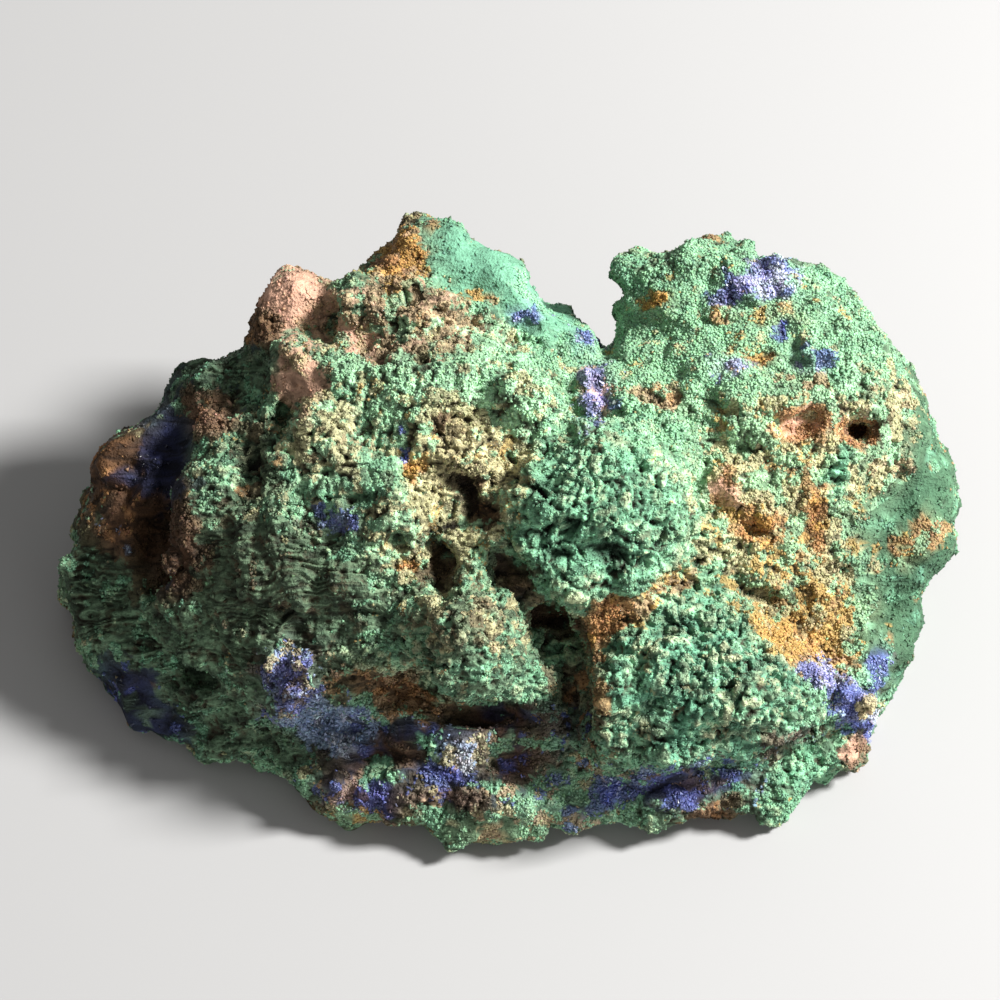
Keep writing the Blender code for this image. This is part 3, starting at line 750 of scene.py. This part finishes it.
def shaded_and_weathered(tint, kind, lift, gap, points):
    """A tint with wear and painted light: darker with depth as painted shade, near-black in gaps as dirt
    and painted shade, paler by up to two thirds on high green tips as dusting and painted highlight,
    and changed from place to place by up to 30 % slowly and 18 % finely."""
    low, high, least, most = DEEP_SHADE
    # Pale tips on green knobs: dusting and painted highlight together.
    dust_and_highlight = 0.3 * rise(lift, 0.1, 0.8) + 0.35 * np.clip(-gap, 0, 1)
    dust_and_highlight *= np.isin(kind, DUSTY_AND_LIT) * rise(layered_noise(points, 4, 81), 0.38, 0.6)
    tint = tint + (DUST_AND_HIGHLIGHT - tint) * dust_and_highlight[:, None]
    change = (0.7 + 0.6 * layered_noise(points, 7, 75)) * (0.82 + 0.36 * layered_noise(points, 1.8, 84))
    # Gaps and ridge troughs go nearly black: dirt and painted shade together.
    tint = tint + (DIRT_AND_SHADE - tint) * (0.96 * np.clip(gap, 0, 1))[:, None]
    # Painted shade: the tint darkens from crest to crease by height, as DEEP_SHADE sets.
    shade = least + (most - least) * rise(lift, low, high)
    return tint * (shade * change)[:, None]


print("dusty_and_lit minerals:", [NAMES[k] for k in DUSTY_AND_LIT])

# %% Tint each vertex
# Creases get dirt and painted shade, so the tint darkens with depth. The tips of green knobs are
# paler, with dusting and painted highlight.
CRUST_SHADE = 0.95  # the crust between grains is a little darker than they are
crust_kind = choose(crust_points, crust_mix, 61, 0.1)
crust_tint = 0.65 * PALETTE[crust_kind] + 0.35 * crust_mix @ PALETTE
crust_tint = CRUST_SHADE * shaded_and_weathered(crust_tint, crust_kind, crust_lift, crust_gap, crust_points)
paint(crust_mesh, crust_tint)
SMOOTH_KINDS = [NAMES.index(name) for name in ("glaze", "reed", "salmon", "mint")]
keep_values(crust_mesh, "wrinkled", np.clip(1 - crust_mix[:, SMOOTH_KINDS].sum(axis=1), 0.1, 1))
print("crust tint mean", crust_tint.mean(axis=0).round(3))

# %% [markdown]
# ## Materials of crust and grains
# Malachite druse is dull from a step away but has small bright facets close up. Azurite is glassy
# and so dark that most of what one sees of it is reflection. One shader could do both through many
# switches. Four small ones are easier to read: each takes the tint that was worked out per vertex,
# breaks it up with fine noise in object coordinates, and sets its own roughness.

# %% Fine speckles as a node group
SPECKLE_SCALES = (900, 3200)  # noise blobs per metre


def add_node(tree, kind, **values):
    """A new shader node with its inputs set by name, where _ stands for a space."""
    node = tree.nodes.new("ShaderNode" + kind)
    for name, value in values.items():
        node.inputs[name.replace("_", " ")].default_value = value
    return node


def scaled_colour(tree, colour, factor):
    """The socket of a colour times a factor, both taken from sockets."""
    scaled = add_node(tree, "VectorMath")
    scaled.operation = "SCALE"
    tree.links.new(colour, scaled.inputs[0])
    tree.links.new(factor, scaled.inputs["Scale"])
    return scaled.outputs[0]


def speckle_group():
    """A node group: Tint in, Colour and Height out. Colour is the tint times 1 plus or minus fine
    noise at two sizes. Height is the same noise, for bump."""
    group = bpy.data.node_groups.new("mineral_speckle", "ShaderNodeTree")
    group.interface.new_socket("Tint", in_out="INPUT", socket_type="NodeSocketColor")
    group.interface.new_socket("Colour", in_out="OUTPUT", socket_type="NodeSocketColor")
    group.interface.new_socket("Height", in_out="OUTPUT", socket_type="NodeSocketFloat")
    links = group.links
    enter, leave = group.nodes.new("NodeGroupInput"), group.nodes.new("NodeGroupOutput")
    where = add_node(group, "TexCoord")
    both = add_node(group, "Math")
    both.operation = "ADD"
    for term, scale in enumerate(SPECKLE_SCALES):
        noise = add_node(group, "TexNoise", Scale=scale, Detail=2)
        links.new(where.outputs["Object"], noise.inputs["Vector"])
        links.new(noise.outputs["Fac"], both.inputs[term])
    level = add_node(group, "MapRange", From_Min=0.65, From_Max=1.35, To_Min=0.72, To_Max=1.18)
    links.new(both.outputs[0], level.inputs["Value"])
    links.new(scaled_colour(group, enter.outputs["Tint"], level.outputs["Result"]), leave.inputs["Colour"])
    links.new(both.outputs[0], leave.inputs["Height"])
    return group


SPECKLE = speckle_group()
print("speckle group:", len(SPECKLE.nodes), "nodes")

# %% One mineral's material


def mineral_material(name, roughness, bump, specular=0.5):
    """Tint attribute, speckled, on a Principled shader with its own roughness and bump in mm."""
    material = bpy.data.materials.new(name)
    material.use_nodes = True
    tree = material.node_tree
    links, shader = tree.links, tree.nodes["Principled BSDF"]
    tint = add_node(tree, "Attribute")
    tint.attribute_name = "tint"
    speckle = add_node(tree, "Group")
    speckle.node_tree = SPECKLE
    relief = add_node(tree, "Bump", Distance=bump * MM)
    links.new(tint.outputs["Color"], speckle.inputs["Tint"])
    links.new(speckle.outputs["Colour"], shader.inputs["Base Color"])
    links.new(speckle.outputs["Height"], relief.inputs["Height"])
    links.new(relief.outputs["Normal"], shader.inputs["Normal"])
    shader.inputs["Roughness"].default_value = roughness
    shader.inputs["Specular IOR Level"].default_value = specular
    return material


print("speckle sockets:", [socket.name for socket in SPECKLE.interface.items_tree])

# %% Wrinkles for the bare crust


def add_wrinkles(material, dark, light, depth):
    """Darkens and lowers the grooves of a noise that is four times as long to the right as it is
    high. Its ground is turned so that the noise's own axes lie along RIGHT, UP and OUT. Depth is in
    mm."""
    tree = material.node_tree
    links, shader = tree.links, tree.nodes["Principled BSDF"]
    where = add_node(tree, "TexCoord")
    turn = add_node(tree, "Mapping", Rotation=(FACE_TILT - math.pi / 2, 0, 0))
    stretch = add_node(tree, "Mapping", Scale=(0.25, 1, 1))
    noise = add_node(tree, "TexNoise", Scale=850, Detail=4, Distortion=0.8)
    links.new(where.outputs["Object"], turn.inputs["Vector"])
    links.new(turn.outputs["Vector"], stretch.inputs["Vector"])
    links.new(stretch.outputs["Vector"], noise.inputs["Vector"])
    # Painted shade: the noise's grooves are darkened to dark and its crests lifted to light.
    level = add_node(tree, "MapRange", From_Min=0.38, From_Max=0.62, To_Min=dark, To_Max=light)
    links.new(noise.outputs["Fac"], level.inputs["Value"])
    masked = add_node(tree, "Mix", A=1)
    mask = add_node(tree, "Attribute")
    mask.attribute_name = "wrinkled"
    links.new(mask.outputs["Fac"], masked.inputs["Factor"])
    links.new(level.outputs["Result"], masked.inputs["B"])
    plain_colour = shader.inputs["Base Color"].links[0].from_socket
    links.new(scaled_colour(tree, plain_colour, masked.outputs["Result"]), shader.inputs["Base Color"])
    relief = add_node(tree, "Bump", Distance=depth * MM)
    links.new(noise.outputs["Fac"], relief.inputs["Height"])
    links.new(shader.inputs["Normal"].links[0].from_socket, relief.inputs["Normal"])
    links.new(relief.outputs["Normal"], shader.inputs["Normal"])


crust_material = mineral_material("crust", 0.75, 0.25, 0.2)
add_wrinkles(crust_material, 0.3, 1.25, 0.6)
druse_material = mineral_material("malachite_druse", 0.5, 0.08, 0.25)
earthy_material = mineral_material("limonite_and_pale_druse", 0.65, 0.08, 0.2)
azurite_material = mineral_material("azurite", 0.38, 0.03)
print("materials:", [m.name for m in bpy.data.materials if m.users])

# %% [markdown]
# ## The crust in four slabs
# The crust is one closed skin of more than half a million triangles, and a mesh of that size is
# slow to handle and to export. Fewer triangles would blunt the creases. So it is cut across into
# four slabs, and each is closed by flat walls that lie against its neighbours' and are never seen.

# %% Pieces and their flat maps


def add_map(mesh, places):
    """Keeps a flat place in 0..1 for each face corner, in the order of the faces."""
    mesh.uv_layers.new(name="OFBake").data.foreach_set("uv", places.ravel())


def add_piece(name, mesh, material):
    """Puts a mesh in the scene as a piece of the specimen."""
    mesh.materials.clear()
    mesh.materials.append(material)
    piece = bpy.data.objects.new(name, mesh)
    bpy.context.scene.collection.objects.link(piece)
    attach(piece, "root")
    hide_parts("azurite_specimen")
    return piece


def direction_map(mesh):
    """Flat places by direction from the middle of the mesh: the direction is divided by the sum of
    its sizes, which puts it on an eight-sided body. Its upper half lies in the middle of the square
    as a diamond, and its lower half is folded out to the square's corners, on the side where the
    face's middle lies."""
    places = vertex_places(mesh)
    corners = np.empty(len(mesh.polygons) * 3, int)
    mesh.polygons.foreach_get("vertices", corners)
    aim = places - places.mean(axis=0)
    aim /= np.abs(aim).sum(axis=1)[:, None]
    loops = aim[corners].reshape(-1, 3, 3)
    middle = loops.mean(axis=1, keepdims=True)
    side = np.where(middle[..., :2] < 0, -1, 1)
    folded = side * (1 - np.abs(loops[..., 1::-1]))
    flat = np.where(middle[..., 2:] < 0, folded, loops[..., :2])
    return np.clip(flat * 0.49 + 0.5, 0, 1)


print("map of the solid spans", np.ptp(direction_map(solid.data), axis=(0, 1)).round(2))

# %% Cut the crust and add it
CUTS = (-70, -20, 3, 24, 70)  # mm along x


def slab_of(mesh, name, left, right):
    """The part of a closed mesh between two places along x in mm, closed by a flat wall at each
    cut."""
    bm = bmesh.new()
    bm.from_mesh(mesh)
    for face in bm.faces:
        face.smooth = True
    for cut, side in ((left, 1), (right, -1)):
        everything = bm.verts[:] + bm.edges[:] + bm.faces[:]
        at, facing = (cut * MM, 0, 0), (side, 0, 0)
        bmesh.ops.bisect_plane(bm, geom=everything, plane_co=at, plane_no=facing, clear_inner=True)
        rim = [edge for edge in bm.edges if edge.is_boundary]
        for edge in rim:
            edge.smooth = False
        for face in bmesh.ops.holes_fill(bm, edges=rim)["faces"]:
            face.smooth = False
    bmesh.ops.triangulate(bm, faces=bm.faces)
    slab = bpy.data.meshes.new(name)
    bm.to_mesh(slab)
    bm.free()
    return slab


for number, (left, right) in enumerate(zip(CUTS[:-1], CUTS[1:]), start=1):
    name = f"crust_{number}"
    slab = slab_of(crust_mesh, name, left, right)
    add_map(slab, direction_map(slab))
    add_piece(name, slab, crust_material)
    print(name, "-", len(slab.polygons), "triangles")

# %% [markdown]
# ## Grains by the thousand
# A druse is a carpet of crystals that all grew outward from the rock. Modelling them as separate
# objects would choke Blender, and a particle system is awkward to export. One mesh that holds
# thousands of four-sided grains is light, because each grain is just four points moved to its place
# by whole-array arithmetic.

# %% Scatter points on a mesh


def scatter(mesh, count, seed):
    """Random places on a triangle mesh, evenly over its area, as three corner numbers and their
    three weights: a triangle is drawn with a chance in proportion to its area, and the weights come
    from folding the unit square along its diagonal."""
    rng = np.random.default_rng(seed)
    corners = np.empty(len(mesh.polygons) * 3, int)
    mesh.polygons.foreach_get("vertices", corners)
    corners = corners.reshape(-1, 3)
    a, b, c = (vertex_places(mesh)[corners[:, k]] for k in range(3))
    area = np.linalg.norm(np.cross(b - a, c - a), axis=1)
    drawn = rng.choice(len(area), count, p=area / area.sum())
    s, t = rng.random(count), rng.random(count)
    fold = s + t > 1
    s[fold], t[fold] = 1 - s[fold], 1 - t[fold]
    return corners[drawn], np.stack((1 - s - t, s, t), axis=1)


def spread(field, corners, weights):
    """A per-vertex field read at scattered places: the mean of three corners by their weights."""
    return sum(field[corners[:, k]] * weights[:, k:k + 1] for k in range(3))


def thinned(points, spacing):
    """Keeps the first point in each cube whose side is the point's spacing, which evens the scatter
    out."""
    cells = np.floor(points / spacing[:, None]).astype(np.int64) + 4096
    key = (cells[:, 0] * 8192 + cells[:, 1]) * 8192 + cells[:, 2]
    key = key * 64 + (spacing * 20).astype(np.int64)
    return np.sort(np.unique(key, return_index=True)[1])


few = scatter(crust_mesh, 1000, 1)
print("mean place of a few:", spread(vertex_places(crust_mesh), *few).mean(axis=0).round(1))

# %% Places for the grains
SAMPLES = 1_100_000
# Distance between grains in mm, on the show side and elsewhere.
SPACING_FRONT = 0.34
SPACING_REST = 0.8
GRAINS_ABOVE = 0.5  # mm over the floor
CRUST_FIELDS = np.column_stack((
    vertex_places(crust_mesh), vertex_normals(crust_mesh), crust_lift, crust_gap,
    by_share(crust_mix, KNOBBY), crust_mix,
))


def places_on_crust(count, seed, front, rest):
    """Scattered places at least about front mm apart on the show side and rest mm elsewhere, above
    the underside.

    For each: the place, the normal, the spacing, the relief, the gap, the knobbiness and the shares
    of minerals."""
    corners, weights = scatter(crust_mesh, count, seed)
    fields = spread(CRUST_FIELDS, corners, weights)
    fields[:, 3:6] /= np.linalg.norm(fields[:, 3:6], axis=1)[:, None]
    spacing = np.where(fields[:, 3:6] @ OUT > -0.15, front, rest)
    kept = thinned(fields[:, :3], spacing)
    kept = kept[fields[kept, 2] > GRAINS_ABOVE]
    fields, spacing = fields[kept], spacing[kept]
    return fields[:, :3], fields[:, 3:6], spacing, fields[:, 6], fields[:, 7], fields[:, 8], fields[:, 9:]


points, normals, spacing, grain_lift, grain_gap, grain_knobby, grain_mix = places_on_crust(
    SAMPLES, 71, SPACING_FRONT, SPACING_REST
)
grain_kind = choose(points, grain_mix, 73, 0.12)
print(len(points), "places")

# %% Keep the places where a grain grows
# Share of the ground that grains cover, where it isn't all of it: here the smooth crust itself
# shows.
COVER = {"glaze": 0.06, "reed": 0.12, "fern": 0.05, "umber": 0.06, "navy": 0.03, "salmon": 0.12}
cover = np.array([COVER.get(name, 1) for name in NAMES])[grain_kind]
clumped = rise(grain_knobby, 0.5, 0.85)
chance = cover * (1 - 0.85 * np.clip(grain_gap, 0, 1)) * (1 - 0.6 * clumped)
grown = np.random.default_rng(77).random(len(points)) < chance
points, normals, spacing = points[grown], normals[grown], spacing[grown]
grain_lift, grain_gap, clumped = grain_lift[grown], grain_gap[grown], clumped[grown]
grain_mix, grain_kind = grain_mix[grown], grain_kind[grown]
print((spacing == SPACING_FRONT).sum(), "grains on the show side")
print(len(points), "grains:", {name: int((grain_kind == k).sum()) for k, name in enumerate(NAMES)})

# %% [markdown]
# ## From places to grains
# A malachite or limonite grain is a blunt pyramid, and azurite grows as flat blades with a slanted
# tip. A sphere would need ten times the faces and look like sand. Two small unit bodies are enough:
# each is stretched, turned out from the rock with some disorder, and its foot sunk in it, so that
# only its tip and sides show.

# %% Unit bodies
# Grain: three corners of a foot and a tip.
GRAIN_POINTS = np.array(((1.2, 0, -0.5), (-0.6, 1.04, -0.5), (-0.6, -1.04, -0.5), (0, 0, 0.6)))
GRAIN_FACES = np.array(((0, 1, 3), (1, 2, 3), (2, 0, 3), (0, 2, 1)))
# Blade: a flat four-sided column whose top slants to one edge.
BLADE_POINTS = np.array(
    ((1, -0.6, -1), (1, 0.6, -1), (-1, 0.6, -1), (-1, -0.6, -1),
     (1, -0.7, 0.5), (0.8, 1, 0.6), (-0.9, 0.8, 1), (-0.8, -0.9, 0.8)),
    float,
)
BLADE_FACES = np.array(
    ((0, 2, 1), (0, 3, 2), (0, 1, 4), (1, 5, 4), (1, 2, 5), (2, 6, 5),
     (2, 3, 6), (3, 7, 6), (3, 0, 7), (0, 4, 7), (4, 5, 6), (4, 6, 7))
)
print("grain:", len(GRAIN_FACES), "faces; blade:", len(BLADE_FACES), "faces")

# %% Stamp copies of a body


def frames_out(normals, disorder, rng):
    """A right-handed set of three directions for each grain: the third is the normal pushed aside
    by a random vector of length about disorder, and the other two are turned about it at random."""
    third = normals + rng.normal(0, disorder / math.sqrt(3), normals.shape)
    third /= np.linalg.norm(third, axis=1)[:, None]
    first = np.cross(third, rng.normal(0, 1, normals.shape))
    first /= np.linalg.norm(first, axis=1)[:, None]
    return np.stack((first, np.cross(third, first), third), axis=1)


def square_map(copies, faces):
    """Flat places for copies of a body: the map is a grid with a cell per copy, each cell is a
    smaller grid, and each small square holds two triangles that face each other across its
    diagonal."""
    wide = math.ceil(math.sqrt(copies))
    side = math.ceil(math.sqrt(faces / 2))
    lower, upper = ((0.08, 0.08), (0.8, 0.08), (0.08, 0.8)), ((0.92, 0.92), (0.2, 0.92), (0.92, 0.2))
    pair = np.array((lower, upper))
    face = np.arange(faces)
    small = np.stack((face // 2 % side, face // 2 // side), axis=1)[:, None]
    in_cell = (small + pair[face % 2]) / side
    copy = np.arange(copies)
    cell = np.stack((copy % wide, copy // wide), axis=1)[:, None, None]
    return (cell + in_cell[None]) / wide


def stamp(name, unit, faces, centres, frames, radii, tints, rng):
    """One mesh with a copy of the unit body for each centre.

    A copy's corner is its centre plus the unit's corner times three radii, measured along the
    copy's frame. Each corner is first pushed by up to a fifth of the radius, so no two copies
    match. Corners on the foot are darker."""
    pushed = unit[None] + rng.uniform(-0.2, 0.2, (len(centres), len(unit), 3))
    local = pushed * radii[:, None, :]
    places = centres[:, None, :] + np.einsum("gvi,gij->gvj", local, frames)
    triangles = faces[None] + len(unit) * np.arange(len(centres))[:, None, None]
    mesh = bpy.data.meshes.new(name)
    mesh.from_pydata(places.reshape(-1, 3) * MM, [], triangles.reshape(-1, 3).tolist())
    add_map(mesh, square_map(len(centres), len(faces)))
    # Painted shade: corners low on the foot are darker, as if shaded by the crust round them.
    depth = np.clip(0.78 + 0.3 * unit[:, 2], 0.3, 1.1)[None, :, None]
    paint(mesh, (tints[:, None, :] * depth).reshape(-1, 3))
    return mesh


print("map of four grains:", square_map(4, len(GRAIN_FACES)).shape)

# %% Size, tint and kind of each grain
LARGEST_GRAIN = 0.42  # mm from the middle
AZURITE_LIKE = [NAMES.index(name) for name in ("azurite", "steel", "ice", "navy", "lilac")]
EARTHY_LIKE = [NAMES.index(name) for name in ("cream", "ochre", "rust", "brown", "salmon", "umber", "tan")]
grain_rng = np.random.default_rng(79)
count = len(points)
size = spacing * grain_rng.uniform(0.5, 1.0, count) * (1 - 0.3 * clumped)
size = np.minimum(size, LARGEST_GRAIN)
variation = grain_rng.uniform(0.9, 1.1, (count, 1)) * (1 + grain_rng.normal(0, 0.05, (count, 3)))
# Grains far apart would look like dots in their own tint, so they take more of the ground's.
own = np.where(spacing > SPACING_FRONT, 0.2, 0.6)[:, None]
grain_tint = own * PALETTE[grain_kind] + (1 - own) * grain_mix @ PALETTE
grain_tint = shaded_and_weathered(grain_tint * variation, grain_kind, grain_lift, grain_gap, points)
blue = np.isin(grain_kind, AZURITE_LIKE)
bladed = blue & (grain_rng.random(count) < 0.3)
earthy = np.isin(grain_kind, EARTHY_LIKE)
print(int(blue.sum()), "blue,", int(earthy.sum()), "earthy and", int((~blue & ~earthy).sum()), "green")

# %% Grow the grains


def grow(name, chosen, material):
    """Adds the chosen grains as one piece: blunt pyramids whose feet are sunk in the crust."""
    rng = np.random.default_rng(83)
    frames = frames_out(normals[chosen], 0.35, rng)
    radii = size[chosen, None] * rng.uniform(0.75, 1.25, (chosen.sum(), 3)) * (1, 1, 0.85)
    centres = points[chosen] + normals[chosen] * size[chosen, None] * 0.25
    mesh = stamp(name, GRAIN_POINTS, GRAIN_FACES, centres, frames, radii, grain_tint[chosen], rng)
    add_piece(name, mesh, material)
    mesh.shade_smooth()
    print(name, "-", int(chosen.sum()), "grains,", len(mesh.polygons), "triangles")


green = ~blue & ~earthy
order = np.argsort(points[:, 0])
GREEN_LIMIT = 49_000  # grains in one piece, at four triangles each
green_order = order[green[order]]
for part, start in enumerate(range(0, len(green_order), GREEN_LIMIT)):
    chosen = np.zeros(count, bool)
    chosen[green_order[start:start + GREEN_LIMIT]] = True
    grow(f"malachite_druse_{part + 1}", chosen, druse_material)
grow("pale_and_rusty_druse", earthy, earthy_material)

# %% [markdown]
# ## Blades of azurite
# Azurite grows as flat, slanted blades that lean every way and catch the light one at a time. Each
# could be a copy of one carved crystal. The stamp that made the grains does it as well, with a flat
# column for the pyramid, much more disorder, and tints that differ widely from blade to blade.

# %% Grow the azurite blades
blade_rng = np.random.default_rng(89)
blade_tint = grain_tint[bladed] * blade_rng.uniform(0.4, 1.5, (bladed.sum(), 1))
blade_radii = size[bladed, None] * blade_rng.uniform(0.7, 1.2, (bladed.sum(), 3)) * (0.8, 0.4, 1)
blades = stamp("azurite_blades", BLADE_POINTS, BLADE_FACES, points[bladed],
               frames_out(normals[bladed], 1.0, blade_rng), blade_radii, blade_tint, blade_rng)
add_piece("azurite_blades", blades, azurite_material)
grow("azurite_druse", blue & ~bladed, azurite_material)
print("azurite_blades -", int(bladed.sum()), "blades,", len(blades.polygons), "triangles")
